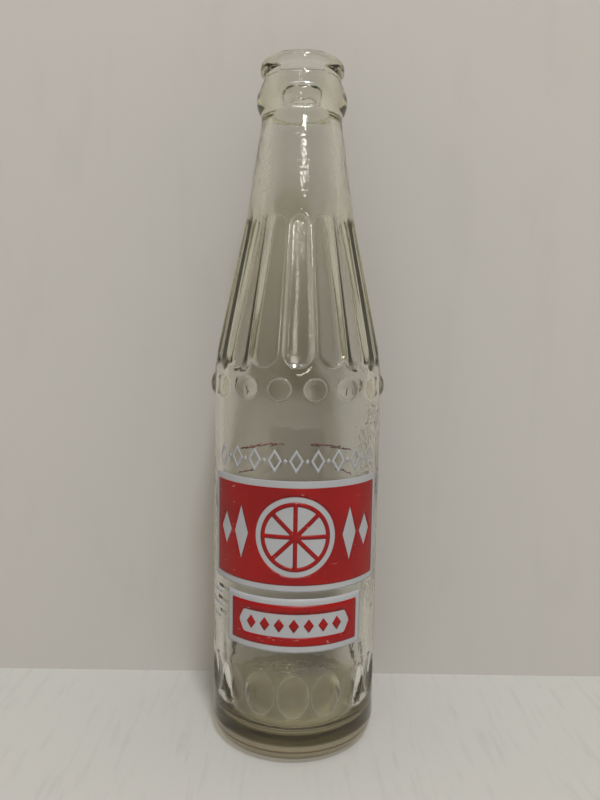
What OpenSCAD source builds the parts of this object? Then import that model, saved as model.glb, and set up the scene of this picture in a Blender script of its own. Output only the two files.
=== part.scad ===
// Returnable soft drink bottle of pressed and blown clear glass, with fired enamel prints.
// The origin is at the centre of the foot, +Z is up, and the front of the bottle faces -Y.

/* [Bottle] */
// Height from the foot to the top of the lip
total_h = 221; // [216:0.5:236]
// Diameter of the straight body
body_d = 55.3; // [54:0.1:57]
// Glass thickness of the body wall
body_wall = 3; // [2.4:0.1:3.6]
// Glass thickness of the shoulder, measured between its flutes
shoulder_wall = 4.6; // [3:0.1:5]
// Glass thickness of the neck, under its collar
neck_wall = 3.6; // [3:0.1:4]

/* [Base] */
// Radius of the rounded heel
heel_r = 5.5; // [4:0.1:6.5]
// Width of the flat foot ring that the bottle stands on
foot_w = 2.2; // [1.5:0.1:3]
// Height of the hollow under the base, at its centre
push_up_h = 3.2; // [2:0.1:4]
// Height of the inner floor at the wall's corner
floor_h = 7.2; // [6.4:0.1:9]
// Rise of the inner floor from its corner to its centre
floor_rise = 1.6; // [1:0.1:2.5]
// Radius of the inner corner between floor and wall
floor_corner_r = 7; // [5:0.1:9]
// Height of the mould seam that runs round the heel
seam_z = 6.5; // [6.5:0.1:9]
// Width of that seam
seam_w = 0.7; // [0.4:0.05:1]
// How far that seam stands out
seam_proud = 0.15; // [0.1:0.01:0.25]

/* [Shoulder and neck] */
// Height at which the straight body ends
body_top = 117; // [115:0.5:118]
// Radius of the curve from body to shoulder
shoulder_curve_r = 75; // [60:1:90]
// Height at which the shoulder meets the neck
shoulder_top = 171.6; // [170:0.2:176]
// Diameter of the neck at its lower end
neck_low_d = 35; // [33.5:0.1:36]
// Diameter of the neck at its upper end, under the collar
neck_high_d = 25.9; // [25:0.1:26.5]
// Length of the neck's upright part, under the collar
neck_upright_l = 2.4; // [1.5:0.1:4]

/* [Finish] */
// Diameter of the lip that a crown cap grips
lip_d = 26.7; // [26.3:0.05:27]
// Height of the upright edge of that lip
lip_land_h = 1.2; // [0.8:0.1:1.6]
// Radius of the lip's outer top edge
lip_edge_r = 2.6; // [2:0.1:2.8]
// Height of the lip's sloping underside
lip_under_h = 1.6; // [1:0.1:2]
// Radius of the lip's inner top edge
lip_inner_r = 1.5; // [1:0.1:1.6]
// Height of the throat between collar and lip
throat_h = 1; // [0.6:0.1:1.4]
// Diameter of the throat between collar and lip
throat_d = 24.8; // [24.4:0.1:25.2]
// Diameter of the collar
collar_d = 29; // [28:0.1:30]
// Radius of the collar's rounding
collar_r = 6.8; // [5.8:0.1:8]
// Height of the collar's lower half, under its widest line
collar_low_h = 4.3; // [3.6:0.1:4.4]
// Height of the collar's upper half, over its widest line
collar_high_h = 6.3; // [6:0.1:8]
// Angle through which the collar's upper rounding runs
collar_high_angle = 20; // [14:1:26]
// Diameter of the mouth's bore
bore_d = 16; // [15.4:0.1:16.6]
// Length of the bore's straight part
bore_l = 7; // [6.5:0.1:8]

/* [Mould pattern] */
// Number of flutes, of beads and of thumbprints round the bottle
pattern_n = 16; // [14:1:16]
// Height of the flutes' upper ends
flute_top = 171.2; // [168:0.2:172]
// Height of the flutes' lower ends
flute_bottom = 125; // [124.6:0.2:128]
// Radius of the hollow of a flute, at its upper end
flute_high_r = 8; // [7:0.1:9]
// Radius of the hollow of a flute, at its lower end
flute_low_r = 10; // [9:0.1:11]
// Depth of a flute at its upper end
flute_high_depth = 1; // [1:0.05:1.1]
// Depth of a flute at its lower end
flute_low_depth = 1.6; // [1:0.05:1.7]
// Height of the row of beads
bead_z = 118.8; // [118:0.1:119.5]
// Radius of the ball that a bead is cut from
bead_r = 6; // [5.6:0.1:8]
// How far a bead stands out
bead_proud = 1.05; // [0.5:0.05:1.1]
// Height of the thumbprints' centres
thumb_z = 23; // [21:0.1:25]
// Radius of the hollow of a thumbprint
thumb_r = 22; // [18:0.5:24]
// Depth of a thumbprint
thumb_depth = 0.95; // [0.7:0.05:1.15]

/* [Main panel] */
// Clearance that keeps one layer of enamel apart from what it lies on
layer_gap = 0.05; // [0.02:0.01:0.1]
// Thickness of a layer of white enamel
white_t = 0.12; // [0.08:0.01:0.2]
// Thickness of a layer of red enamel
red_t = 0.1; // [0.08:0.01:0.2]
// Height of the main panel's lower edge
main_z = 57; // [56:0.5:60]
// Height of the main panel
main_h = 34.4; // [31:0.2:36]
// Width of the main panel, along the glass
main_w = 64; // [60:0.5:70]
// Width of the white border that the red print leaves
border_w = 2.1; // [1.5:0.1:3]
// Diameter of the fruit slice in the middle of the main panel
slice_d = 25; // [22:0.5:26]
// Width of the fruit slice's rind
rind_w = 1.7; // [1.2:0.1:2]
// Width of the gap between the rind and the segments
pith_w = 1.3; // [0.8:0.1:1.6]
// Number of segments in the fruit slice
segment_n = 8; // [6:1:10]
// Height of the tallest lozenge beside the slice
main_lozenge_h = 17; // [14:0.5:20]
// Width of the tallest of those lozenges
main_lozenge_w = 5.4; // [4:0.1:5.8]
// Distance between neighbouring lozenges, along the glass
main_lozenge_step = 6.8; // [6.4:0.1:7.2]

/* [Lower band] */
// Height of the lower band's lower edge
band_z = 37.6; // [36.5:0.2:38.4]
// Height of the lower band
band_h = 17.2; // [16:0.2:17.6]
// Width of the lower band, along the glass
band_w = 47; // [44:0.5:50]
// Height of the cartouche in the lower band
cartouche_h = 7.4; // [6.5:0.1:8]
// Width of the cartouche, from point to point
cartouche_w = 37; // [36:0.5:38]
// Number of red lozenges in the cartouche
band_lozenge_n = 7; // [5:1:7]
// Height of one of those lozenges
band_lozenge_h = 4.4; // [3.6:0.1:5]
// Width of one of those lozenges
band_lozenge_w = 3.2; // [2.6:0.1:3.6]
// Distance between neighbouring lozenges, along the glass
band_lozenge_step = 4.6; // [4.4:0.1:4.7]

/* [Small prints] */
// Height of the middle of the upper row
row_z = 97.4; // [96.8:0.2:100]
// Number of open lozenges in the upper row
row_n = 9; // [7:1:9]
// Distance between open lozenges, along the glass
row_step = 6.6; // [6.4:0.1:7]
// Height of an open lozenge
row_lozenge_h = 7.4; // [6.4:0.1:8]
// Width of an open lozenge
row_lozenge_w = 4.6; // [4:0.1:4.8]
// Width of an open lozenge's line
row_line_w = 0.9; // [0.6:0.05:1]
// Height of the small lozenges between the open ones
row_dot_h = 2; // [1.4:0.1:2.2]
// Height of the lowest small bar
bar_z = 43; // [41:0.5:45]
// Distance between the small bars, upwards
bar_step = 4.2; // [3:0.1:4.4]
// Height of a small bar
bar_h = 1.1; // [0.8:0.1:1.6]
// Length of the longest small bar, along the glass
bar_l = 9; // [6:0.5:9.5]
// Distance from the lower band to the small bars, along the glass
bar_gap = 3.4; // [2:0.1:5]
// Height of the upper line on the back
rear_high_z = 93; // [90:0.5:96]
// Height of the lower line on the back
rear_low_z = 84.6; // [82:0.5:88]
// Width of the lines on the back
rear_line_w = 0.7; // [0.5:0.1:1]
// Length of a line on the back from end to end, along the glass
rear_line_l = 52; // [46:1:58]
// Gap in the middle of the upper line on the back
rear_high_gap = 11; // [8:0.5:16]
// Gap in the middle of the lower line on the back
rear_low_gap = 34; // [28:0.5:38]

/* [Hidden] */
$fn = 128;

glass_colour = [0.72, 0.76, 0.70, 0.55];
white_colour = [0.80, 0.83, 0.87];
red_colour = [0.62, 0.07, 0.08];

// Overrun of every cut and of every solid that is trimmed
over = 2;
// Steps of a rounded stretch of the outline
arc_steps = 8;
// Directions, as turns about Z: the front faces -Y and the back faces +Y
front = -90;
back = 90;

body_r = body_d / 2;
neck_low_r = neck_low_d / 2;
neck_high_r = neck_high_d / 2;
lip_r = lip_d / 2;
throat_r = throat_d / 2;
bore_r = bore_d / 2;
pitch = 360 / pattern_n;

// Heights of the finish, measured down from the lip's top
lip_land_top = total_h - lip_edge_r;
lip_land_low = lip_land_top - lip_land_h;
throat_top = lip_land_low - lip_under_h;
throat_low = throat_top - throat_h;
collar_z = throat_low - collar_high_h;
collar_low = collar_z - collar_low_h;

// Points of an arc from angle a to angle b, in the plane of the outline
function arc(centre, r, a, b) =
    [for (i = [0:arc_steps]) let (t = a + (b - a) * i / arc_steps) centre + r * [cos(t), sin(t)]];

// Angle at which the straight line from a point touches a circle, seen from the circle's centre
function touch_angle(centre, r, point) =
    let (d = point - centre) atan2(d[1], d[0]) - acos(r / norm(d));

shoulder_centre = [body_r - shoulder_curve_r, body_top];
shoulder_lean = touch_angle(shoulder_centre, shoulder_curve_r, [neck_low_r, shoulder_top]);

collar_centre = [collar_d / 2 - collar_r, collar_z];
collar_low_angle = -asin(collar_low_h / collar_r);
collar_foot = collar_centre + collar_r * [cos(collar_low_angle), sin(collar_low_angle)];

seam_points = [
    [body_r, seam_z - seam_w / 2],
    [body_r + seam_proud, seam_z - seam_w / 6],
    [body_r + seam_proud, seam_z + seam_w / 6],
    [body_r, seam_z + seam_w / 2]
];

// Half outline of the bottle's outside, as radius and height
outer_outline = concat(
    [[0, 0]],
    arc([body_r - heel_r, heel_r], heel_r, -90, 0),
    seam_points,
    arc(shoulder_centre, shoulder_curve_r, 0, shoulder_lean),
    [[neck_low_r, shoulder_top], [neck_high_r, collar_low - neck_upright_l], [neck_high_r, collar_foot[1]]],
    arc(collar_centre, collar_r, collar_low_angle, collar_high_angle),
    [[throat_r, throat_low], [throat_r, throat_top], [lip_r, lip_land_low]],
    arc([lip_r - lip_edge_r, lip_land_top], lip_edge_r, 0, 90),
    [[0, total_h]]
);

inner_body_r = body_r - body_wall;
inner_neck_low_r = neck_low_r - shoulder_wall;
inner_neck_high_r = neck_high_r - neck_wall;
inner_curve_r = shoulder_curve_r - body_wall;
inner_lean = touch_angle(shoulder_centre, inner_curve_r, [inner_neck_low_r, shoulder_top]);
bore_top = total_h - lip_inner_r;
bore_low = bore_top - bore_l;

// Half outline of the hollow, as radius and height
inner_outline = concat(
    [[0, floor_h + floor_rise], [inner_body_r - floor_corner_r, floor_h]],
    arc([inner_body_r - floor_corner_r, floor_h + floor_corner_r], floor_corner_r, -90, 0),
    arc(shoulder_centre, inner_curve_r, 0, inner_lean),
    [[inner_neck_low_r, shoulder_top], [inner_neck_high_r, collar_low], [bore_r, bore_low]],
    arc([bore_r + lip_inner_r, bore_top], lip_inner_r, 180, 90),
    [[bore_r + lip_inner_r, total_h + over], [0, total_h + over]]
);

// How far the round end of a flute reaches past its centre, along the shoulder
function end_reach(r, depth) = sqrt(2 * r * depth - depth * depth);

// Centre of the ball that ends a flute: on the shoulder's line, then out by what is not sunk in
function flute_centre(z, r, depth) = [
    neck_low_r + (shoulder_top - z) * tan(shoulder_lean) + (r - depth) * cos(shoulder_lean),
    z + (r - depth) * sin(shoulder_lean)
];

flute_high = flute_centre(flute_top - end_reach(flute_high_r, flute_high_depth) * cos(shoulder_lean),
    flute_high_r, flute_high_depth);
flute_low = flute_centre(flute_bottom + end_reach(flute_low_r, flute_low_depth) * cos(shoulder_lean),
    flute_low_r, flute_low_depth);

// Hollow of one flute, in the plane of +X: a ball at each end and a cone between them
module flute_hollow() {
    rise = flute_high - flute_low;
    translate([flute_low[0], 0, flute_low[1]]) {
        sphere(r = flute_low_r);
        rotate([0, atan2(rise[0], rise[1]), 0]) {
            cylinder(h = norm(rise), r1 = flute_low_r, r2 = flute_high_r);
            translate([0, 0, norm(rise)]) sphere(r = flute_high_r);
        }
    }
}

// Ball under the base that leaves the push-up
module push_up() {
    foot_inner_r = body_r - heel_r - foot_w;
    ball_r = (foot_inner_r * foot_inner_r + push_up_h * push_up_h) / (2 * push_up_h);
    translate([0, 0, push_up_h - ball_r]) sphere(r = ball_r);
}

module glass_bottle() {
    color(glass_colour)
    difference() {
        union() {
            rotate_extrude() polygon(outer_outline);
            for (i = [0:pattern_n - 1])
                rotate([0, 0, (i + 0.5) * pitch])
                translate([body_r + bead_proud - bead_r, 0, bead_z]) sphere(r = bead_r);
        }
        rotate_extrude() polygon(inner_outline);
        push_up();
        for (i = [0:pattern_n - 1])
            rotate([0, 0, i * pitch]) {
                flute_hollow();
                translate([body_r + thumb_r - thumb_depth, 0, thumb_z]) sphere(r = thumb_r);
            }
    }
}

// Radii on which the layers lie: white and the rear lines on the glass, red on the white
glass_seat_r = body_r + layer_gap;
white_seat_r = glass_seat_r + white_t + layer_gap;

// Angle that a length along the body's glass spans
function span(length) = length / body_r * 180 / PI;

// Part of a layer on the body: from radius r, between two heights, turned to a direction
module patch(r, thickness, low, high, width, direction) {
    rotate([0, 0, direction - span(width) / 2])
    rotate_extrude(angle = span(width)) translate([r, low]) square([thickness, high - low]);
}

// What a flat outline, seen from a direction and centred at a height, covers of a layer on the body
module printed(r, thickness, z, direction) {
    intersection() {
        difference() {
            cylinder(h = total_h, r = r + thickness);
            translate([0, 0, -over]) cylinder(h = total_h + 2 * over, r = r);
        }
        rotate([0, 0, direction + 90]) translate([0, 0, z]) rotate([90, 0, 0])
            linear_extrude(height = body_r + over) children();
    }
}

// The same, as a cut that runs through the layer
module cut_through(z, direction) {
    rotate([0, 0, direction + 90]) translate([0, 0, z]) rotate([90, 0, 0])
        linear_extrude(height = body_r + over) children();
}

module lozenge(width, height) {
    polygon([[width / 2, 0], [0, height / 2], [-width / 2, 0], [0, -height / 2]]);
}

// Rind and segments of a round slice of fruit
module fruit_slice() {
    difference() {
        circle(d = slice_d);
        circle(d = slice_d - 2 * rind_w);
    }
    flesh_r = slice_d / 2 - rind_w - pith_w;
    half_turn = 180 / segment_n;
    for (i = [0:segment_n - 1])
        rotate((i + 0.5) * 2 * half_turn)
        intersection() {
            circle(r = flesh_r);
            translate([pith_w / 2 / sin(half_turn), 0])
                polygon([[0, 0], flesh_r * [cos(half_turn), sin(half_turn)] * 2,
                    flesh_r * [cos(half_turn), -sin(half_turn)] * 2]);
        }
}

// Heights of the lozenges beside the slice, from the middle outwards, as shares of the tallest
main_lozenge_shares = [1, 0.62];

module white_main_ground() {
    color(white_colour) patch(glass_seat_r, white_t, main_z, main_z + main_h, main_w, front);
}

module red_main_print() {
    middle = main_z + main_h / 2;
    first = slice_d / 2 + main_lozenge_w;
    color(red_colour)
    difference() {
        patch(white_seat_r, red_t, main_z + border_w, main_z + main_h - border_w,
            main_w - 2 * border_w, front);
        cut_through(middle, front) fruit_slice();
        for (side = [-1, 1], i = [0:len(main_lozenge_shares) - 1])
            cut_through(middle, front + side * span(first + i * main_lozenge_step))
                lozenge(main_lozenge_w, main_lozenge_h * main_lozenge_shares[i]);
    }
}

module white_lower_ground() {
    color(white_colour) patch(glass_seat_r, white_t, band_z, band_z + band_h, band_w, front);
}

module red_lower_frame() {
    half_h = cartouche_h / 2;
    half_w = cartouche_w / 2;
    color(red_colour)
    difference() {
        patch(white_seat_r, red_t, band_z + border_w, band_z + band_h - border_w,
            band_w - 2 * border_w, front);
        cut_through(band_z + band_h / 2, front)
            polygon([[half_w, 0], [half_w - half_h / 2, half_h], [half_h / 2 - half_w, half_h],
                [-half_w, 0], [half_h / 2 - half_w, -half_h], [half_w - half_h / 2, -half_h]]);
    }
}

module red_lozenge_row() {
    color(red_colour)
    for (i = [0:band_lozenge_n - 1])
        printed(white_seat_r, red_t, band_z + band_h / 2,
            front + span((i - (band_lozenge_n - 1) / 2) * band_lozenge_step))
            lozenge(band_lozenge_w, band_lozenge_h);
}

module white_upper_row() {
    line_share = row_line_w / row_lozenge_w * 2;
    color(white_colour) {
        for (i = [0:row_n - 1])
            printed(glass_seat_r, white_t, row_z, front + span((i - (row_n - 1) / 2) * row_step))
            difference() {
                lozenge(row_lozenge_w, row_lozenge_h);
                lozenge(row_lozenge_w * (1 - line_share), row_lozenge_h * (1 - line_share));
            }
        for (i = [0:row_n - 2])
            printed(glass_seat_r, white_t, row_z, front + span((i - row_n / 2 + 1) * row_step))
            lozenge(row_dot_h * row_lozenge_w / row_lozenge_h, row_dot_h);
    }
}

// Lengths of the small bars from the lowest up, as shares of the longest
bar_shares = [0.6, 1, 0.8];

module white_side_bars() {
    start = band_w / 2 + bar_gap;
    color(white_colour)
    for (i = [0:len(bar_shares) - 1])
        let (z = bar_z + i * bar_step)
        patch(glass_seat_r, white_t, z, z + bar_h, bar_l * bar_shares[i], front - span(start + bar_l / 2));
}

// A line on the back with a gap in its middle
module rear_line(z, gap) {
    piece = (rear_line_l - gap) / 2;
    for (side = [-1, 1])
        patch(glass_seat_r, red_t, z, z + rear_line_w, piece, back + side * span(gap / 2 + piece / 2));
}

module red_rear_line_upper() {
    color(red_colour) rear_line(rear_high_z, rear_high_gap);
}

module red_rear_line_lower() {
    color(red_colour) rear_line(rear_low_z, rear_low_gap);
}

glass_bottle();
white_main_ground();
red_main_print();
white_lower_ground();
red_lower_frame();
red_lozenge_row();
white_upper_row();
white_side_bars();
red_rear_line_upper();
red_rear_line_lower();
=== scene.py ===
import math

import bpy
import numpy as np
from mathutils import Matrix, Vector
from mathutils.geometry import delaunay_2d_cdt


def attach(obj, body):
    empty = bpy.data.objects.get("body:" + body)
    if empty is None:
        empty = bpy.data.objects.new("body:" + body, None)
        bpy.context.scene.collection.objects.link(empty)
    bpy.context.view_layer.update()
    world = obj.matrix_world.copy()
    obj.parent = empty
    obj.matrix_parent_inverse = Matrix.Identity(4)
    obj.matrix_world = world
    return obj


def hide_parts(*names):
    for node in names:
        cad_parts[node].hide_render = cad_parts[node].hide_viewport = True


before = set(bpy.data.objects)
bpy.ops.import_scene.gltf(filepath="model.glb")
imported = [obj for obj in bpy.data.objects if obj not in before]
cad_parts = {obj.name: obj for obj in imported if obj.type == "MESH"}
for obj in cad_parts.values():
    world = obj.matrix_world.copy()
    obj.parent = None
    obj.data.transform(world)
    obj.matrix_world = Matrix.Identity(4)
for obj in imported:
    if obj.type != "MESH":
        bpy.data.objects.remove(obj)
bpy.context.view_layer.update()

MM = 0.001
scene = bpy.context.scene

# The camera stands where the photograph's did, worked out from the prints' level lines and the outline.
CAMERA_PLACE = (0, -0.2301, 0.1382)
CAMERA_TURN = -0.2174
CAMERA_DROP = 6.266
CAMERA_ROLL = 0.9306
CAMERA_LENS = 31.037

# Sizes of the bottle in millimetres, as in the part's source, but for those of the flutes and the depth of
# the thumbprints: here a flute has a flat floor between rounded walls, and the hollow follows it.
BODY_R = 27.65
HEEL_R = 5.5
FOOT_W = 2.2
PUSH_UP_H = 3.2
FLOOR_H, FLOOR_RISE, FLOOR_CORNER_R = 7.2, 1.6, 7.0
SEAM_Z, SEAM_W, SEAM_PROUD = 6.5, 0.7, 0.15
BODY_WALL, SHOULDER_WALL, NECK_WALL = 3.0, 4.6, 3.6
BODY_TOP, SHOULDER_CURVE_R, SHOULDER_TOP = 117.0, 75.0, 171.6
NECK_LOW_R, NECK_HIGH_R, NECK_UPRIGHT = 17.5, 12.95, 2.4
COLLAR_LOW, COLLAR_Z, COLLAR_R, COLLAR_BULGE = 204.0, 208.3, 14.5, 6.8
COLLAR_LOW_H, COLLAR_HIGH_ANGLE = 4.3, 20.0
THROAT_R, THROAT_LOW, THROAT_TOP = 12.4, 214.6, 215.6
LIP_R, LIP_LAND_LOW, LIP_LAND_TOP, LIP_EDGE_R, TOTAL_H = 13.35, 217.2, 218.4, 2.6, 221.0
LIP_INNER_R, BORE_R, BORE_L = 1.5, 8.0, 7.0
PATTERN_N = 16
FLUTE_TOP, FLUTE_BOTTOM = 171.2, 125.0
FLUTE_HIGH_W, FLUTE_LOW_W, FLUTE_HIGH_DEPTH, FLUTE_LOW_DEPTH, FLUTE_WALL_R = 7.0, 10.3, 0.6, 1.05, 2.8
FLUTE_FOLLOW, FLUTE_WALL_MORE, FLUTE_BLUR = 0.95, 1.0, 3.0
BEAD_Z, BEAD_R, BEAD_PROUD = 118.8, 6.0, 1.05
THUMB_Z, THUMB_R, THUMB_DEPTH = 23.0, 22.0, 1.12
PATTERN_LOW, PATTERN_HIGH = 12.0, 176.0

# Over what length the creases round the beads, the flutes and the thumbprints are rounded off.
BEAD_SOFT, FLUTE_SOFT, THUMB_SOFT = 0.09, 0.25, 0.10

# How a round flute would face, against a flat one, which the glass's painted shade on the flutes' sides
# follows:
# the bend at the top and low down, the heights where it has these values, and the angle beside a ridge over
# which it fades.
SCALLOP_HIGH, SCALLOP_LOW, SCALLOP_TOP, SCALLOP_BOTTOM, RIDGE_ANGLE = 1.9, 3.1, 172.0, 124.0, 1.2

# Radii between which the layers of enamel lie.
WHITE_IN, WHITE_OUT = 27.63, 27.76
RED_IN, RED_OUT = 27.74, 27.86
REAR_IN, REAR_OUT = 27.63, 27.75
FRONT, BACK = -90.0, 90.0


def arc(centre, radius, start, end, steps=40):
    """Points of a circle's arc: centre plus radius times the cosine and sine of each angle, in degrees."""
    t = np.radians(np.linspace(start, end, steps))
    return np.stack([centre[0] + radius * np.cos(t), centre[1] + radius * np.sin(t)], 1)


def touch_angle(centre, radius, point):
    """Angle at which a line from the point touches the circle: the point's direction less the arc cosine
    of radius over distance."""
    d = np.subtract(point, centre)
    return math.degrees(math.atan2(d[1], d[0]) - math.acos(radius / math.hypot(*d)))


def soften(points, step, spread):
    """The line through the points at equal steps of its length, with each point made the average of its
    neighbours, weighted by a bell curve, so that corners turn round as fire-polished glass does."""
    points = np.asarray(points, float)
    length = np.concatenate([[0], np.cumsum(np.hypot(*np.diff(points, axis=0).T))])
    keep = np.concatenate([[True], np.diff(length) > 1e-9])
    s = np.linspace(0, length[-1], int(length[-1] / step) + 1)
    line = np.stack([np.interp(s, length[keep], points[keep, k]) for k in (0, 1)], 1)
    reach = int(4 * spread / step)
    bell = np.exp(-0.5 * (np.arange(-reach, reach + 1) * step / spread) ** 2)
    ahead = 2 * line[0] - line[reach:0:-1]
    after = 2 * line[-1] - line[-2:-reach - 2:-1]
    padded = np.concatenate([ahead, line, after])
    return np.stack([np.convolve(padded[:, k], bell / bell.sum(), "valid") for k in (0, 1)], 1)


def stations(line, spacings):
    """Points along a line, as many as fit when the spacing at each height is the given one: the inverse of
    the running sum of one over the spacing. The spacings are pairs of a height and the spacing there."""
    gap = np.interp(line[:, 1], *zip(*spacings))
    step = np.concatenate([[0], np.hypot(*np.diff(line, axis=0).T)])
    count = np.cumsum(step / gap)
    rows = np.linspace(0, count[-1], int(round(count[-1])) + 1)
    return np.stack([np.interp(rows, count, line[:, k]) for k in (0, 1)], 1)


foot_inner_r = BODY_R - HEEL_R - FOOT_W
push_up_ball = (foot_inner_r ** 2 + PUSH_UP_H ** 2) / (2 * PUSH_UP_H)
push_up_half = math.degrees(math.asin(foot_inner_r / push_up_ball))
shoulder_centre = (BODY_R - SHOULDER_CURVE_R, BODY_TOP)
shoulder_lean = touch_angle(shoulder_centre, SHOULDER_CURVE_R, (NECK_LOW_R, SHOULDER_TOP))
collar_start = -math.degrees(math.asin(COLLAR_LOW_H / COLLAR_BULGE))
collar_points = arc((COLLAR_R - COLLAR_BULGE, COLLAR_Z), COLLAR_BULGE, collar_start, COLLAR_HIGH_ANGLE)

outer_corners = np.concatenate([
    arc((0, PUSH_UP_H - push_up_ball), push_up_ball, 90, 90 - push_up_half),
    arc((BODY_R - HEEL_R, HEEL_R), HEEL_R, -90, 0),
    [(BODY_R, SEAM_Z - SEAM_W / 2), (BODY_R + SEAM_PROUD, SEAM_Z), (BODY_R, SEAM_Z + SEAM_W / 2)],
    arc(shoulder_centre, SHOULDER_CURVE_R, 0, shoulder_lean),
    [(NECK_LOW_R, SHOULDER_TOP), (NECK_HIGH_R, COLLAR_LOW - NECK_UPRIGHT), (NECK_HIGH_R, COLLAR_LOW)],
    collar_points,
    [(THROAT_R, THROAT_LOW), (THROAT_R, THROAT_TOP), (LIP_R, LIP_LAND_LOW)],
    arc((LIP_R - LIP_EDGE_R, LIP_LAND_TOP), LIP_EDGE_R, 0, 90),
])

inner_body_r = BODY_R - BODY_WALL
inner_curve_r = SHOULDER_CURVE_R - BODY_WALL
inner_neck = (NECK_LOW_R - SHOULDER_WALL, SHOULDER_TOP)
inner_lean = touch_angle(shoulder_centre, inner_curve_r, inner_neck)
corner_r = inner_body_r - FLOOR_CORNER_R
bore_top = TOTAL_H - LIP_INNER_R
inner_corners = np.concatenate([
    arc((BORE_R + LIP_INNER_R, bore_top), LIP_INNER_R, 90, 180),
    [(BORE_R, bore_top - BORE_L), (NECK_HIGH_R - NECK_WALL, COLLAR_LOW), inner_neck],
    arc(shoulder_centre, inner_curve_r, inner_lean, 0),
    arc((corner_r, FLOOR_H + FLOOR_CORNER_R), FLOOR_CORNER_R, 0, -90),
    [(0, FLOOR_H + FLOOR_RISE)],
])

# Each outline is cut at short steps and softened over a spread. Then come heights, each with how far apart
# the rows of points lie there: near each other where the form bends, and far apart where it is straight.
OUTER_STEP, OUTER_SPREAD, INNER_STEP, INNER_SPREAD = 0.04, 0.14, 0.05, 0.5
OUTER_SPACINGS = [(0, 2.2), (5.5, 1.0), (6.0, 0.4), (7.4, 0.4), (9, 1.4), (13, 0.9), (33, 0.9), (36, 12),
                  (109, 12), (111, 0.55), (133, 0.55), (138, 3), (163, 3), (166, 0.6), (173, 0.6), (177, 4),
                  (200, 4), (203, 0.7), (221, 0.56)]
INNER_SPACINGS = [(0, 2.5), (9, 1.4), (10, 1.4), (24, 3), (30, 8), (110, 8), (116, 2.3), (136, 2.3),
                  (142, 3.6), (156, 3.6), (162, 2.3), (176, 2.3), (180, 4), (200, 4), (206, 1.6), (215, 1.6),
                  (221, 0.6)]
outer_line = soften(outer_corners, OUTER_STEP, OUTER_SPREAD)
outer_rows = stations(outer_line, OUTER_SPACINGS)
inner_rows = stations(soften(inner_corners, INNER_STEP, INNER_SPREAD), INNER_SPACINGS)

COLUMNS = 384
HALF = COLUMNS // PATTERN_N // 2
HALF_ANGLE = 180.0 / PATTERN_N


def smooth_most(a, b, round_off):
    """The larger of two distances, with the crease between them rounded off: a mix of the two, whose share
    runs from nought to one over the given stretch, plus the stretch times the share times one less it."""
    mix = np.clip(0.5 + 0.5 * (a - b) / round_off, 0, 1)
    return b + (a - b) * mix + round_off * mix * (1 - mix)


def flute_end(z, depth):
    """Where a flute's wall has its centre at an end: on the shoulder's straight line, then out by the
    wall's radius less the depth."""
    lean = math.radians(shoulder_lean)
    line_r = NECK_LOW_R + (SHOULDER_TOP - z) * math.tan(lean)
    out = FLUTE_WALL_R - depth
    return np.array([line_r + out * math.cos(lean), z + out * math.sin(lean)])


def wall_width(depth):
    """How wide the rounded wall beside a flute's floor is: the root of twice radius times depth, less depth
    squared."""
    return math.sqrt(2 * FLUTE_WALL_R * depth - depth * depth)


# How far in and out of the plain outline the moulded radius is sought, and how often the stretch is halved.
SEEK_IN, SEEK_OUT, HALVINGS = 4.0, 1.5, 26

lean_cos = math.cos(math.radians(shoulder_lean))
floor_high = FLUTE_HIGH_W / 2 - wall_width(FLUTE_HIGH_DEPTH)
floor_low = FLUTE_LOW_W / 2 - wall_width(FLUTE_LOW_DEPTH)
flute_high = flute_end(FLUTE_TOP - FLUTE_HIGH_W / 2 * lean_cos, FLUTE_HIGH_DEPTH)
flute_low = flute_end(FLUTE_BOTTOM + FLUTE_LOW_W / 2 * lean_cos, FLUTE_LOW_DEPTH)


def moulded_radius(plain_r, z, angle):
    """Radius of the moulded outside at a height and an angle from a flute's middle, in degrees. The glass is
    the plain outline, joined with the bead's ball, less the flute, less the thumbprint's ball. The flute is
    all that lies within its wall's radius of a flat long oval, its floor. Each is a distance, joined by
    smooth_most, and the radius is where the whole is zero, found by halving. Along the flutes the outline
    leans, so there its level distance is taken times the lean's cosine."""
    t = np.radians(angle)
    bead_t = np.radians(HALF_ANGLE - np.abs(angle))
    rise = flute_high - flute_low
    rise_l = np.hypot(*rise)
    slope = np.where(z > FLUTE_BOTTOM, lean_cos, 1.0)

    def distance(r):
        x, y = r * np.cos(t), r * np.sin(t)
        base = (r - plain_r) * slope
        bead = np.sqrt((r * np.cos(bead_t) - (BODY_R + BEAD_PROUD - BEAD_R)) ** 2
                       + (r * np.sin(bead_t)) ** 2 + (z - BEAD_Z) ** 2) - BEAD_R
        up = ((x - flute_low[0]) * rise[0] + (z - flute_low[1]) * rise[1]) / rise_l
        out = ((x - flute_low[0]) * rise[1] - (z - flute_low[1]) * rise[0]) / rise_l
        along = np.clip(up / rise_l, 0, 1)
        beside = np.hypot(up - along * rise_l, y) - (floor_low + along * (floor_high - floor_low))
        flute = np.hypot(np.maximum(beside, 0), np.minimum(out, 0)) - FLUTE_WALL_R
        thumb = np.sqrt((x - (BODY_R + THUMB_R - THUMB_DEPTH)) ** 2 + y ** 2 + (z - THUMB_Z) ** 2) - THUMB_R
        glass = -smooth_most(-base, -bead, BEAD_SOFT)
        glass = smooth_most(glass, -flute, FLUTE_SOFT)
        return smooth_most(glass, -thumb, THUMB_SOFT)

    low, high = plain_r - SEEK_IN, plain_r + SEEK_OUT
    for _ in range(HALVINGS):
        middle = (low + high) / 2
        inside = distance(middle) < 0
        low, high = np.where(inside, middle, low), np.where(inside, high, middle)
    return (low + high) / 2


def smooth_up(values, z, spread):
    """Rows of values, smoothed up the bottle: each is the average of all rows, weighted by a bell curve of
    the distance between their heights."""
    near = np.exp(-0.5 * ((z[:, None] - z) / spread) ** 2)
    return ((near @ values).T / near.sum(1)).T


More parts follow.
